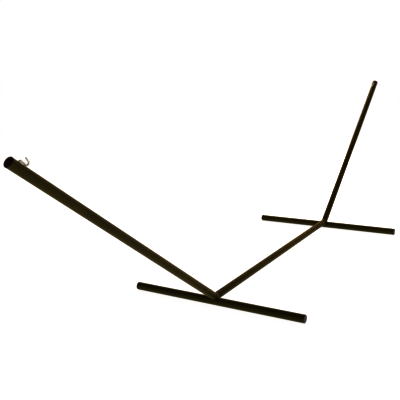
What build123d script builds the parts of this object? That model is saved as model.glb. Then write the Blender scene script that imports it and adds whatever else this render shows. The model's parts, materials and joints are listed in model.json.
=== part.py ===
from build123d import *
from math import cos, radians, sin, tan
import os

# Three-beam steel hammock stand. Millimetres, +Z up, +X along the base beam, +Y along the foot bars.
# The origin is on the ground, midway between the two foot bars. "left" is the -X end, "right" the +X end.

# Driving dimensions -------------------------------------------------------------------------------
BEAM_RADIUS = 24.15            # 1.9 in tube: base beam, uprights and elbows
FOOT_RADIUS = 25.4             # 2 in tube: foot bars
WALL = 2.6                     # 12 gauge wall of every tube
BEAM_LENGTH = 1787.0           # the base beam and both uprights are cut to one length
JOINT_GAP = 34.0               # from the corner of an elbow to the end of each beam
RISE_ANGLE = 37.6              # slope of the uprights above the ground
FOOT_SPAN = 1219.2             # 4 ft over a foot bar and its two caps
SADDLE_HEIGHT = 25.6           # base beam axis above foot bar axis
FOOT_SETBACK = 5.8             # foot bar axis outboard of the elbow's corner

BEND_RADIUS = 68.0             # elbow centreline, 1.4 tube diameters
SHOULDER = 25.0                # from the corner to where the elbow starts to narrow
NECK_END = 27.0                # from the corner to where it has its spigot's diameter
SPIGOT_END = 139.0             # from the corner to the end of each spigot
SPIGOT_SLIP = 0.15             # radial slip between a spigot and the beam over it
BOLT_STATION = 80.0            # from the corner to each beam bolt

CAP_HEAD = 6.0                 # what an end cap adds to its tube
CAP_DEPTH = 22.0
CAP_OVERHANG = 0.65            # tip cap head over its tube, radial
CAP_CROWN = 1.2                # height of the head's dome
CAP_ROUNDING = 2.4
CAP_SKIRT_WALL = 2.0
CAP_RIB_RISE = 0.8
CAP_RIB_DEPTHS = (5.0, 11.0, 17.0)

BOLT_RADIUS = 4.0              # 8 mm beam bolts
BOLT_HOLE_RADIUS = 4.4
BOLT_HEAD_RADIUS = 6.5
BOLT_HEAD_HEIGHT = 1.6         # thickness over the crown of the tube
BOLT_HEAD_ROUNDING = 1.1
BOLT_TIP_HEIGHT = 3.0          # bolt tip above the leg's axis
CAPTIVE_NUT_FLATS = 13.0
CAPTIVE_NUT_HEIGHT = 6.0       # underside of the captive nut above the leg's axis
SOCKET_DEPTH = 3.5
SOCKET_RADIUS = 2.9            # over the corners of the hex socket

ROD_RADIUS = 4.0               # 8 mm hook rod
HOOK_SETBACK = 48.5            # from the capped tip to the hook's shank
HOOK_HOLE_RADIUS = 4.5
HOOK_BEARING_RADIUS = 4.08     # running fit on the shank
SADDLE_WASHER_RADIUS = 10.0
SADDLE_WASHER_HEIGHT = 2.0
BACKING_RADIUS = 9.0
BACKING_FLAT = 18.6            # inner face of the backing plate above the tube's axis
SWIVEL_PLAY = 0.35             # axial play of the hook in its bearing
HOOK_NECK_RADIUS = 6.5
HOOK_SLOPE = 5.7               # the lower leg leans towards the beam by this much
HOOK_LEG = 27.9
HOOK_BOWL_RADIUS = 10.0
HOOK_FREE_LEG = 18.0
HOOK_FLARE = 18.0              # the free leg opens away from the tube by this much
HOOK_TIP_ROUNDING = 1.6
HOOK_WASHER_RADIUS = 8.0
HOOK_WASHER_THICKNESS = 1.6
HOOK_NUT_FLATS = 13.0
HOOK_NUT_HEIGHT = 8.0
SHANK_TIP_HEIGHT = 5.5         # shank end above the tube's axis

SHANK_CHAMFER = 0.6            # on the inner end of every bolt and hook shank
WASHER_CHAMFER = 0.4
HEX_SIDES = 6
TINY = 0.01                    # tolerance when an edge is picked by its radius

# Worked out from them -----------------------------------------------------------------------------
BEAM_BORE = BEAM_RADIUS - WALL
FOOT_BORE = FOOT_RADIUS - WALL
SPIGOT_RADIUS = BEAM_BORE - SPIGOT_SLIP
SPIGOT_BORE = SPIGOT_RADIUS - WALL
BEND_END = BEND_RADIUS * tan(radians(RISE_ANGLE / 2))
CORNER_X = BEAM_LENGTH / 2 + JOINT_GAP
BASE_Z = FOOT_RADIUS + SADDLE_HEIGHT
FOOT_TUBE_LENGTH = FOOT_SPAN - 2 * CAP_HEAD
UPRIGHT_END = JOINT_GAP + BEAM_LENGTH
HOOK_STATION = UPRIGHT_END + CAP_HEAD - HOOK_SETBACK
SIDES = {"left": -1, "right": 1}


class Leg:
    """A straight run that leaves an elbow's corner: its direction, and its upper or inner normal."""

    def __init__(self, corner, along, normal):
        self.corner = Vector(*corner)
        self.along = Vector(*along)
        self.normal = Vector(*normal)

    def across(self, distance):
        """Plane square to the run, facing away from the corner."""
        return Plane(origin=self.corner + self.along * distance, x_dir=self.normal, z_dir=self.along)

    def upward(self, distance, height=0.0):
        """Plane along the run, facing its upper or inner side."""
        point = self.corner + self.along * distance + self.normal * height
        return Plane(origin=point, x_dir=self.along, z_dir=self.normal)

    def profile(self, distance):
        """Plane through the run: local x points back to the corner, local y to the upper side."""
        point = self.corner + self.along * distance
        return Plane(origin=point, x_dir=-self.along, z_dir=(-self.along).cross(self.normal))


def upright_leg(sign):
    rise = radians(RISE_ANGLE)
    along = (sign * cos(rise), 0, sin(rise))
    return Leg((sign * CORNER_X, 0, BASE_Z), along, (-sign * sin(rise), 0, cos(rise)))


def base_leg(sign):
    return Leg((sign * CORNER_X, 0, BASE_Z), (-sign, 0, 0), (0, 0, 1))


def foot_plane(sign, y, facing=1):
    """Plane square to a foot bar, facing +Y or -Y."""
    centre = (sign * (CORNER_X + FOOT_SETBACK), y, FOOT_RADIUS)
    return Plane(origin=centre, x_dir=(0, 0, 1), z_dir=(0, facing, 0))


def save(builder, name):
    builder.part.label = name
    export_step(builder.part, f"parts/{name}.step")


# Tubes --------------------------------------------------------------------------------------------
def tube(plane, radius, length):
    with BuildPart() as pipe:
        with BuildSketch(plane):
            Circle(radius)
            Circle(radius - WALL, mode=Mode.SUBTRACT)
        extrude(amount=length)
    return pipe


def drilled_beam(start_plane, holes):
    """A beam tube with a hole through its upper wall at each (leg, distance, radius)."""
    blank = tube(start_plane, BEAM_RADIUS, BEAM_LENGTH)
    with BuildPart() as beam:
        add(blank.part)
        for leg, distance, radius in holes:
            with BuildSketch(leg.upward(distance)):
                Circle(radius)
            extrude(amount=2 * BEAM_RADIUS, mode=Mode.SUBTRACT)
    return beam


def elbow(sign):
    """Bent tube, coped over the foot bar, with a swaged spigot and a bolt hole on each leg."""
    legs = (base_leg(sign), upright_leg(sign))
    ends = [leg.across(BEND_END) for leg in legs]
    with BuildPart() as bend:
        with BuildLine() as route:
            TangentArc(ends[0].origin, ends[1].origin, tangent=-legs[0].along)
        with BuildSketch(ends[0]):
            Circle(BEAM_RADIUS)
            Circle(BEAM_BORE, mode=Mode.SUBTRACT)
        sweep(path=route.line)
        for leg in legs:
            with BuildSketch(leg.profile(0)):
                with BuildLine():
                    Polyline(
                        (-BEND_END, BEAM_BORE),
                        (-BEND_END, BEAM_RADIUS),
                        (-SHOULDER, BEAM_RADIUS),
                        (-NECK_END, SPIGOT_RADIUS),
                        (-SPIGOT_END, SPIGOT_RADIUS),
                        (-SPIGOT_END, SPIGOT_BORE),
                        (-NECK_END, SPIGOT_BORE),
                        (-SHOULDER, BEAM_BORE),
                        close=True,
                    )
                make_face()
            revolve(axis=Axis(leg.corner, leg.along))
        with BuildSketch(foot_plane(sign, 0)):
            Circle(FOOT_RADIUS)
        extrude(amount=2 * BEAM_RADIUS, both=True, mode=Mode.SUBTRACT)
        for leg in legs:
            with BuildSketch(leg.upward(BOLT_STATION)):
                Circle(BOLT_HOLE_RADIUS)
            extrude(amount=BEAM_RADIUS, mode=Mode.SUBTRACT)
    return bend


# End caps -----------------------------------------------------------------------------------------
def side_view(mouth):
    """Half section through a tube's mouth: local x is the radius, local y points out of the tube."""
    return Plane(origin=mouth.origin, x_dir=mouth.x_dir, z_dir=mouth.x_dir.cross(mouth.z_dir))


def plug_cap(mouth, head_radius, bore_radius):
    """Ribbed hollow plug with a low domed head. mouth is the tube's end plane, facing out of it."""
    skirt = bore_radius - CAP_RIB_RISE
    hollow = skirt - CAP_SKIRT_WALL
    with BuildPart() as cap:
        with BuildSketch(side_view(mouth)):
            with BuildLine():
                Polyline(
                    (0, CAP_HEAD),
                    (0, -CAP_SKIRT_WALL),
                    (hollow, -CAP_SKIRT_WALL),
                    (hollow, -CAP_DEPTH),
                    (skirt, -CAP_DEPTH),
                    (skirt, 0),
                    (head_radius, 0),
                    (head_radius, CAP_HEAD - CAP_CROWN),
                )
                ThreePointArc(
                    (head_radius, CAP_HEAD - CAP_CROWN),
                    (head_radius / 2, CAP_HEAD - CAP_CROWN / 4),
                    (0, CAP_HEAD),
                )
            make_face()
            with Locations(*[(skirt, -depth) for depth in CAP_RIB_DEPTHS]):
                Polygon(
                    (-CAP_RIB_RISE, -CAP_RIB_RISE),
                    (CAP_RIB_RISE, 0),
                    (-CAP_RIB_RISE, CAP_RIB_RISE),
                    align=None,
                )
        revolve(axis=Axis(mouth.origin, mouth.z_dir))
        circles = cap.edges().filter_by(GeomType.CIRCLE)
        head_edges = circles.filter_by(lambda edge: abs(edge.radius - head_radius) < TINY)
        fillet(head_edges.sort_by(Axis(mouth.origin, mouth.z_dir))[-1], CAP_ROUNDING)
    return cap


# Beam bolts ---------------------------------------------------------------------------------------
def beam_bolt(leg):
    """Flat round head, hollowed to sit on the tube, with a hex socket and a shank into the captive nut."""
    with BuildPart() as bolt:
        with BuildSketch(leg.upward(BOLT_STATION)):
            Circle(BOLT_HEAD_RADIUS)
        extrude(amount=BEAM_RADIUS + BOLT_HEAD_HEIGHT)
        with BuildSketch(leg.across(BOLT_STATION)):
            Circle(BEAM_RADIUS)
        extrude(amount=BOLT_HEAD_RADIUS, both=True, mode=Mode.SUBTRACT)
        top = bolt.faces().sort_by(Axis(leg.corner, leg.normal))[-1]
        fillet(top.edges(), BOLT_HEAD_ROUNDING)
        with BuildSketch(leg.upward(BOLT_STATION, BOLT_TIP_HEIGHT)):
            Circle(BOLT_RADIUS)
        extrude(amount=BEAM_RADIUS - BOLT_TIP_HEIGHT)
        tip = bolt.faces().sort_by(Axis(leg.corner, leg.normal))[0]
        chamfer(tip.edges(), SHANK_CHAMFER)
        with BuildSketch(leg.upward(BOLT_STATION, BEAM_RADIUS + BOLT_HEAD_HEIGHT)):
            RegularPolygon(SOCKET_RADIUS, HEX_SIDES)
        extrude(amount=-SOCKET_DEPTH, mode=Mode.SUBTRACT)
    return bolt


def captive_nut(leg):
    """Hex nut welded to the inside of a spigot, its top shaped to the wall."""
    with BuildPart() as nut:
        with BuildSketch(leg.upward(BOLT_STATION, CAPTIVE_NUT_HEIGHT)):
            RegularPolygon(CAPTIVE_NUT_FLATS / 2, HEX_SIDES, major_radius=False)
            Circle(BOLT_RADIUS, mode=Mode.SUBTRACT)
        extrude(amount=SPIGOT_BORE - CAPTIVE_NUT_HEIGHT)
        with BuildSketch(leg.across(BOLT_STATION)):
            Circle(SPIGOT_BORE)
        extrude(amount=CAPTIVE_NUT_FLATS, both=True, mode=Mode.INTERSECT)
    return nut


# Hooks --------------------------------------------------------------------------------------------
def hook_saddle(leg):
    """Round bearing washer with a flat top, hollowed underneath to sit on the tube."""
    with BuildPart() as saddle:
        with BuildSketch(leg.upward(HOOK_STATION)):
            Circle(SADDLE_WASHER_RADIUS)
            Circle(HOOK_BEARING_RADIUS, mode=Mode.SUBTRACT)
        extrude(amount=BEAM_RADIUS + SADDLE_WASHER_HEIGHT)
        with BuildSketch(leg.across(HOOK_STATION)):
            Circle(BEAM_RADIUS)
        extrude(amount=SADDLE_WASHER_RADIUS, both=True, mode=Mode.SUBTRACT)
        top = saddle.faces().sort_by(Axis(leg.corner, leg.normal))[-1]
        chamfer(top.outer_wire().edges(), WASHER_CHAMFER)
    return saddle


def hook_backing(leg):
    """Bearing plate inside the tube: round against the wall, flat towards the axis."""
    with BuildPart() as backing:
        with BuildSketch(leg.upward(HOOK_STATION, BACKING_FLAT)):
            Circle(BACKING_RADIUS)
            Circle(HOOK_BEARING_RADIUS, mode=Mode.SUBTRACT)
        extrude(amount=BEAM_BORE - BACKING_FLAT)
        with BuildSketch(leg.across(HOOK_STATION)):
            Circle(BEAM_BORE)
        extrude(amount=BACKING_RADIUS, both=True, mode=Mode.INTERSECT)
    return backing


def hook(leg):
    """Bent rod: a shank through the tube's wall, a leg along the tube, a bowl and a flared free leg."""
    neck_height = BEAM_RADIUS + SADDLE_WASHER_HEIGHT + SWIVEL_PLAY
    with BuildPart() as rod:
        with BuildLine(leg.profile(HOOK_STATION)) as route:
            shank = Line((0, SHANK_TIP_HEIGHT), (0, neck_height))
            neck = JernArc(shank @ 1, shank % 1, HOOK_NECK_RADIUS, -(90 + HOOK_SLOPE))
            lower_leg = PolarLine(neck @ 1, HOOK_LEG, direction=neck % 1)
            bowl = JernArc(lower_leg @ 1, lower_leg % 1, HOOK_BOWL_RADIUS, 180 + HOOK_SLOPE - HOOK_FLARE)
            PolarLine(bowl @ 1, HOOK_FREE_LEG, direction=bowl % 1)
        with BuildSketch(leg.upward(HOOK_STATION, SHANK_TIP_HEIGHT)):
            Circle(ROD_RADIUS)
        sweep(path=route.line)
        tip_face = rod.faces().sort_by_distance(route.line @ 1)[0]
        fillet(tip_face.edges(), HOOK_TIP_ROUNDING)
        shank_face = rod.faces().sort_by_distance(route.line @ 0)[0]
        chamfer(shank_face.edges(), SHANK_CHAMFER)
    return rod


def hook_washer(leg):
    height = BACKING_FLAT - SWIVEL_PLAY - HOOK_WASHER_THICKNESS
    with BuildPart() as washer:
        with BuildSketch(leg.upward(HOOK_STATION, height)):
            Circle(HOOK_WASHER_RADIUS)
            Circle(ROD_RADIUS, mode=Mode.SUBTRACT)
        extrude(amount=HOOK_WASHER_THICKNESS)
    return washer


def hook_nut(leg):
    """Lock nut on the shank, under the washer."""
    height = BACKING_FLAT - SWIVEL_PLAY - HOOK_WASHER_THICKNESS - HOOK_NUT_HEIGHT
    with BuildPart() as nut:
        with BuildSketch(leg.upward(HOOK_STATION, height)):
            RegularPolygon(HOOK_NUT_FLATS / 2, HEX_SIDES, major_radius=False)
            Circle(ROD_RADIUS, mode=Mode.SUBTRACT)
        extrude(amount=HOOK_NUT_HEIGHT)
    return nut


# The stand ----------------------------------------------------------------------------------------
os.makedirs("parts", exist_ok=True)

base_holes = [(base_leg(sign), BOLT_STATION, BOLT_HOLE_RADIUS) for sign in SIDES.values()]
base_beam = drilled_beam(base_leg(-1).across(JOINT_GAP), base_holes)
save(base_beam, "base_beam")

for side, sign in SIDES.items():
    base = base_leg(sign)
    rising = upright_leg(sign)

    upright_holes = [
        (rising, BOLT_STATION, BOLT_HOLE_RADIUS),
        (rising, HOOK_STATION, HOOK_HOLE_RADIUS),
    ]
    save(drilled_beam(rising.across(JOINT_GAP), upright_holes), f"{side}_upright")
    save(elbow(sign), f"{side}_elbow")
    save(tube(foot_plane(sign, -FOOT_TUBE_LENGTH / 2), FOOT_RADIUS, FOOT_TUBE_LENGTH), f"{side}_foot_bar")

    tip_mouth = rising.across(UPRIGHT_END)
    save(plug_cap(tip_mouth, BEAM_RADIUS + CAP_OVERHANG, BEAM_BORE), f"{side}_tip_cap")
    for end, facing in (("front", -1), ("rear", 1)):
        mouth = foot_plane(sign, facing * FOOT_TUBE_LENGTH / 2, facing)
        save(plug_cap(mouth, FOOT_RADIUS, FOOT_BORE), f"{side}_foot_cap_{end}")

    for beam, leg in (("base", base), ("upright", rising)):
        save(beam_bolt(leg), f"{side}_{beam}_bolt")
        save(captive_nut(leg), f"{side}_{beam}_captive_nut")

    save(hook(rising), f"{side}_hook")
    save(hook_saddle(rising), f"{side}_hook_saddle")
    save(hook_backing(rising), f"{side}_hook_backing")
    save(hook_washer(rising), f"{side}_hook_washer")
    save(hook_nut(rising), f"{side}_hook_nut")
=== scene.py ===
import json
import math

import bpy
from mathutils import Matrix, Vector


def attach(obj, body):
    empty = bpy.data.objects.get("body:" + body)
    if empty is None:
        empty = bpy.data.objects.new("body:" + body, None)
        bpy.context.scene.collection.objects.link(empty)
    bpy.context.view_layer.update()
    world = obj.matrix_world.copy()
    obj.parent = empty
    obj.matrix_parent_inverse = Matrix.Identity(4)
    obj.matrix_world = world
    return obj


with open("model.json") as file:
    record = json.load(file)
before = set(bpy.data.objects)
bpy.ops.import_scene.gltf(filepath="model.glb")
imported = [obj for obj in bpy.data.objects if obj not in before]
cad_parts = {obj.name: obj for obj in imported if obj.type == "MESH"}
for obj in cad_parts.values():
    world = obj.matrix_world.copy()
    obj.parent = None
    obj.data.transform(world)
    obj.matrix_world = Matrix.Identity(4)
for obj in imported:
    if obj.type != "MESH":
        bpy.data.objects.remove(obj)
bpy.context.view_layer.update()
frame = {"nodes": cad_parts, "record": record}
nodes = frame["nodes"]

# Sizes shared with the CAD model, in metres ---------------------------------------------------------
BEAM_RADIUS = 0.02415
FOOT_RADIUS = 0.0254
CORNER_X = 0.9275
FOOT_X = 0.9333
BASE_Z = 0.0510
RISE = math.radians(37.6)
BEND_RADIUS = 0.0680

# Camera ---------------------------------------------------------------------------------------------
CAMERA_AT = (-3.8849, -1.8763, 1.5209)
CAMERA_RIGHT = (0.53855, -0.84084, -0.05446)
CAMERA_UP = (0.22518, 0.08134, 0.97092)
CAMERA_BACK = (-0.81196, -0.53514, 0.23315)
LENS_MM = 53.65
SENSOR_MM = 36.0
CLIP_END = 200.0


def make_camera():
    data = bpy.data.cameras.new("camera")
    data.sensor_width = SENSOR_MM
    data.lens = LENS_MM
    data.clip_end = CLIP_END
    camera = bpy.data.objects.new("camera", data)
    turn = Matrix((CAMERA_RIGHT, CAMERA_UP, CAMERA_BACK)).transposed().to_4x4()
    camera.matrix_world = Matrix.Translation(CAMERA_AT) @ turn
    bpy.context.scene.collection.objects.link(camera)
    bpy.context.scene.camera = camera


# Materials ------------------------------------------------------------------------------------------
FLECK = (0.10, 0.075, 0.035)
DUST = (0.13, 0.11, 0.08)
CAP_DARK = (0.048, 0.014, 0.008)
CAP_LIGHT = (0.064, 0.022, 0.013)
SPOT_SHADE = 0.55


class Nodes:
    """Short calls for building a material's node tree."""

    def __init__(self, name):
        self.material = bpy.data.materials.new(name)
        self.material.use_nodes = True
        self.tree = self.material.node_tree
        self.shader = self.tree.nodes["Principled BSDF"]
        self.where = self.tree.nodes.new("ShaderNodeTexCoord").outputs["Object"]

    def add(self, kind, **settings):
        node = self.tree.nodes.new(kind)
        for key, value in settings.items():
            setattr(node, key, value)
        return node

    def link(self, start, end):
        self.tree.links.new(start, end)

    def noise(self, scale, detail=3.0, roughness=0.5):
        node = self.add("ShaderNodeTexNoise")
        node.inputs["Scale"].default_value = scale
        node.inputs["Detail"].default_value = detail
        node.inputs["Roughness"].default_value = roughness
        self.link(self.where, node.inputs["Vector"])
        return node.outputs["Fac"]

    def spread(self, value, start, end, low, high):
        """Map value from start..end to low..high, held at the ends."""
        node = self.add("ShaderNodeMapRange")
        node.inputs["From Min"].default_value = start
        node.inputs["From Max"].default_value = end
        node.inputs["To Min"].default_value = low
        node.inputs["To Max"].default_value = high
        self.link(value, node.inputs["Value"])
        return node.outputs["Result"]

    def mix(self, factor, first, second):
        node = self.add("ShaderNodeMix", data_type="RGBA")
        self.link(factor, node.inputs["Factor"])
        for socket, value in ((node.inputs["A"], first), (node.inputs["B"], second)):
            if isinstance(value, tuple):
                socket.default_value = (*value, 1.0)
            else:
                self.link(value, socket)
        return node.outputs["Result"]

    def bump(self, height, strength, distance):
        node = self.add("ShaderNodeBump")
        node.inputs["Strength"].default_value = strength
        node.inputs["Distance"].default_value = distance
        self.link(height, node.inputs["Height"])
        return node.outputs["Normal"]

    def set(self, **values):
        """Shader sockets by name, with _ for a space: a number or colour, or another node's output."""
        for key, value in values.items():
            socket = self.shader.inputs[key.replace("_", " ")]
            if isinstance(value, bpy.types.NodeSocket):
                self.link(value, socket)
            elif isinstance(value, tuple):
                socket.default_value = (*value, 1.0)
            else:
                socket.default_value = value


def powder_coat(name, dark, light):
    """Dark bronze powder coat: satin, slightly cloudy, with fine orange peel and a few dusty scuffs."""
    paint = Nodes(name)
    cloud = paint.noise(7.0, detail=4.0)
    fleck = paint.noise(900.0, detail=1.0)
    scuff = paint.noise(38.0, detail=8.0, roughness=0.7)
    tone = paint.mix(paint.spread(cloud, 0.35, 0.65, 0.0, 1.0), dark, light)
    tone = paint.mix(paint.spread(fleck, 0.58, 0.72, 0.0, 0.25), tone, FLECK)
    tone = paint.mix(paint.spread(scuff, 0.66, 0.78, 0.0, 0.15), tone, DUST)
    peel = paint.bump(paint.noise(420.0, detail=2.0), 0.12, 0.0004)
    paint.set(
        Base_Color=tone,
        Roughness=paint.spread(cloud, 0.3, 0.7, 0.38, 0.50),
        Specular_IOR_Level=0.16,
        Specular_Tint=(1.0, 0.72, 0.40),
        Sheen_Weight=0.22,
        Sheen_Roughness=0.35,
        Sheen_Tint=(1.0, 0.55, 0.25),
        Normal=peel,
    )
    return paint.material


def cap_plastic():
    """Moulded dark brown plastic with a fine spark-eroded grain."""
    plastic = Nodes("cap_plastic")
    patch = plastic.noise(30.0, detail=4.0)
    grain = plastic.noise(1600.0, detail=2.0)
    plastic.set(
        Base_Color=plastic.mix(plastic.spread(patch, 0.3, 0.7, 0.0, 1.0), CAP_DARK, CAP_LIGHT),
        Roughness=plastic.spread(grain, 0.3, 0.7, 0.28, 0.42),
        Specular_IOR_Level=0.6,
        Normal=plastic.bump(grain, 0.25, 0.0002),
    )
    return plastic.material


def zinc(name, light, dark, roughness):
    """Zinc plate: pale metal with soft yellowish blotches and small dull spots."""
    metal = Nodes(name)
    blotch = metal.noise(90.0, detail=5.0, roughness=0.6)
    spots = metal.noise(700.0, detail=3.0, roughness=0.65)
    tone = metal.mix(metal.spread(blotch, 0.3, 0.7, 0.0, 1.0), light, dark)
    tone = metal.mix(metal.spread(spots, 0.6, 0.75, 0.0, 0.5), tone, tuple(SPOT_SHADE * c for c in dark))
    metal.set(
        Base_Color=tone,
        Metallic=0.7,
        Roughness=metal.spread(spots, 0.3, 0.7, roughness - 0.07, roughness + 0.1),
        Normal=metal.bump(spots, 0.15, 0.0003),
    )
    return metal.material


PAINT = powder_coat("powder_coat", dark=(0.086, 0.074, 0.020), light=(0.108, 0.093, 0.026))
ELBOW_PAINT = powder_coat("elbow_powder_coat", dark=(0.085, 0.074, 0.028), light=(0.110, 0.096, 0.038))
MATERIALS = {
    "powder_coat": PAINT,
    "cap_plastic": cap_plastic(),
    "zinc": zinc("zinc", light=(0.92, 0.85, 0.74), dark=(0.74, 0.67, 0.54), roughness=0.50),
    "plated_fastener": zinc(
        "plated_fastener", light=(0.34, 0.31, 0.27), dark=(0.24, 0.21, 0.17), roughness=0.42
    ),
}


def paint_nodes():
    for part in frame["record"]["subparts"]:
        material = MATERIALS[part["material_slot"]]
        if part["node"].endswith("elbow"):
            material = ELBOW_PAINT
        for slot in nodes[part["node"]].material_slots:
            slot.material = material


# Weld beads -----------------------------------------------------------------------------------------
BEAD_RADIUS = 0.0027
BEAD_RIPPLE = 0.0004
RIPPLE_PITCH = 0.0032
BEAD_STEP = 0.0005
BEAD_SIDES = 10
RIPPLE_LEAN = 0.0008
LOOP_STEPS = 900
LOOP_REACH = 95.0
SHORTEST_STEP = 1e-9


def elbow_distance(x, z):
    """Distance in the plane of the beams from (x, z), measured from the right corner, to the elbow's axis."""
    half = RISE / 2
    tangent = BEND_RADIUS * math.tan(half)
    centre_x, centre_z = -tangent, BEND_RADIUS
    angle = math.atan2(x - centre_x, centre_z - z)
    if angle < 0:
        return abs(z)
    if angle > RISE:
        return abs(z * math.cos(RISE) - x * math.sin(RISE))
    return abs(math.hypot(x - centre_x, z - centre_z) - BEND_RADIUS)


def cope_loop():
    """Points round the joint of the right elbow and its foot bar, from the foot bar's centre."""
    half_loop = []
    for i in range(LOOP_STEPS + 1):
        turn = math.radians(-LOOP_REACH + 2 * LOOP_REACH * i / LOOP_STEPS)
        x, z = FOOT_RADIUS * math.sin(turn), FOOT_RADIUS * math.cos(turn)
        away = elbow_distance(x + FOOT_X - CORNER_X, z + FOOT_RADIUS - BASE_Z)
        if away < BEAM_RADIUS:
            half_loop.append(Vector((x, math.sqrt(BEAM_RADIUS**2 - away**2), z)))
    return half_loop + [Vector((p.x, -p.y, p.z)) for p in reversed(half_loop)]


def even_steps(points, step):
    """The closed loop through points, cut into equal steps."""
    closed = points + [points[0]]
    lengths = [0.0]
    for a, b in zip(closed, closed[1:]):
        lengths.append(lengths[-1] + (b - a).length)
    count = round(lengths[-1] / step)
    result = []
    i = 0
    for n in range(count):
        want = lengths[-1] * n / count
        while lengths[i + 1] < want:
            i += 1
        share = (want - lengths[i]) / max(lengths[i + 1] - lengths[i], SHORTEST_STEP)
        result.append(closed[i].lerp(closed[i + 1], share))
    return result


def weld_bead(side, sign):
    """Rippled fillet weld round the elbow where it stands on the foot bar."""
    loop = even_steps(cope_loop(), BEAD_STEP)
    count = len(loop)
    ripples = round(count * BEAD_STEP / RIPPLE_PITCH)
    verts, faces = [], []
    for n, point in enumerate(loop):
        ahead = (loop[(n + 1) % count] - loop[n - 1]).normalized()
        outward = Vector((point.x, 0, point.z)).normalized()
        beside = ahead.cross(outward).normalized()
        phase = (ripples * n / count) % 1.0
        radius = BEAD_RADIUS + BEAD_RIPPLE * (1.0 - phase) ** 0.5 - BEAD_RIPPLE / 2
        for k in range(BEAD_SIDES):
            turn = 2 * math.pi * k / BEAD_SIDES
            ring = outward * math.cos(turn) * radius + beside * math.sin(turn) * radius
            at = point + ring + ahead * (RIPPLE_LEAN * math.cos(turn))
            verts.append((sign * (FOOT_X + at.x), at.y, FOOT_RADIUS + at.z))
    for n in range(count):
        for k in range(BEAD_SIDES):
            a, b = n * BEAD_SIDES + k, n * BEAD_SIDES + (k + 1) % BEAD_SIDES
            c, d = (b + BEAD_SIDES) % len(verts), (a + BEAD_SIDES) % len(verts)
            faces.append((a, b, c, d) if sign > 0 else (d, c, b, a))
    mesh = bpy.data.meshes.new(f"{side}_weld_bead")
    mesh.from_pydata(verts, [], faces)
    mesh.polygons.foreach_set("use_smooth", [True] * len(faces))
    mesh.materials.append(PAINT)
    bead = bpy.data.objects.new(f"{side}_weld_bead", mesh)
    bpy.context.scene.collection.objects.link(bead)
    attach(bead, "stand")


# Studio ---------------------------------------------------------------------------------------------
FLOOR_HALF = 60.0
FLOOR_GLOW = 0.95
WORLD_STRENGTH = 1.05
HORIZON_STOP, HORIZON_COLOUR = 0.12, (1.0, 1.0, 1.0, 1.0)
OVERHEAD_STOP, OVERHEAD_COLOUR = 0.35, (0.10, 0.10, 0.10, 1.0)
SUN_ENERGY = 0.3
SUN_ANGLE = math.radians(120.0)
BOX_AT = (4.3, 1.1, 2.9)
BOX_TARGET = (0.0, 0.0, 0.1)
BOX_SIZE = (2.8, 2.2)
KEY_WATTS, KEY_COLOUR = 620.0, (1.0, 0.86, 0.70)
EDGE_WATTS, EDGE_COLOUR = 22.0, (1.0, 0.45, 0.18)
DISPLAY_GAMMA = 0.5


def make_floor():
    mesh = bpy.data.meshes.new("floor")
    corners = [(-1, -1), (1, -1), (1, 1), (-1, 1)]
    mesh.from_pydata([(x * FLOOR_HALF, y * FLOOR_HALF, 0.0) for x, y in corners], [], [(0, 1, 2, 3)])
    floor = bpy.data.objects.new("floor", mesh)
    bpy.context.scene.collection.objects.link(floor)
    pale = Nodes("pale_floor")
    pale.set(
        Base_Color=(0.2, 0.2, 0.2),
        Roughness=0.9,
        Specular_IOR_Level=0.0,
        Emission_Color=(1.0, 1.0, 1.0),
        Emission_Strength=FLOOR_GLOW,
    )
    mesh.materials.append(pale.material)


def make_world():
    """White all round at the horizon, dimmer overhead."""
    world = bpy.data.worlds.new("studio")
    world.use_nodes = True
    tree = world.node_tree
    background = tree.nodes["Background"]
    where = tree.nodes.new("ShaderNodeTexCoord")
    split = tree.nodes.new("ShaderNodeSeparateXYZ")
    ramp = tree.nodes.new("ShaderNodeValToRGB")
    tree.links.new(where.outputs["Generated"], split.inputs["Vector"])
    tree.links.new(split.outputs["Z"], ramp.inputs["Fac"])
    tree.links.new(ramp.outputs["Color"], background.inputs["Color"])
    stops = ramp.color_ramp.elements
    stops[0].position, stops[0].color = HORIZON_STOP, HORIZON_COLOUR
    stops[1].position, stops[1].color = OVERHEAD_STOP, OVERHEAD_COLOUR
    background.inputs["Strength"].default_value = WORLD_STRENGTH
    bpy.context.scene.world = world


def overhead_light():
    """Very soft light from straight above, even over the whole floor."""
    data = bpy.data.lights.new("overhead", "SUN")
    data.energy = SUN_ENERGY
    data.angle = SUN_ANGLE
    light = bpy.data.objects.new("overhead", data)
    light.visible_glossy = False
    bpy.context.scene.collection.objects.link(light)


def softbox(name, watts, colour, reflected):
    """Large soft light behind the far end: seen only in reflections, or only by diffuse surfaces."""
    data = bpy.data.lights.new(name, "AREA")
    data.color = colour
    data.shape = "RECTANGLE"
    data.size, data.size_y = BOX_SIZE
    data.energy = watts
    light = bpy.data.objects.new(name, data)
    light.location = BOX_AT
    light.rotation_euler = (Vector(BOX_TARGET) - Vector(BOX_AT)).to_track_quat("-Z", "Y").to_euler()
    light.visible_camera = False
    light.visible_glossy = reflected
    light.visible_diffuse = not reflected
    bpy.context.scene.collection.objects.link(light)


make_camera()
paint_nodes()
for side_name, side_sign in (("left", -1), ("right", 1)):
    weld_bead(side_name, side_sign)
make_floor()
make_world()
overhead_light()
softbox("key", KEY_WATTS, KEY_COLOUR, reflected=False)
softbox("edge", EDGE_WATTS, EDGE_COLOUR, reflected=True)
bpy.context.scene.view_settings.view_transform = "Standard"
bpy.context.scene.view_settings.gamma = DISPLAY_GAMMA
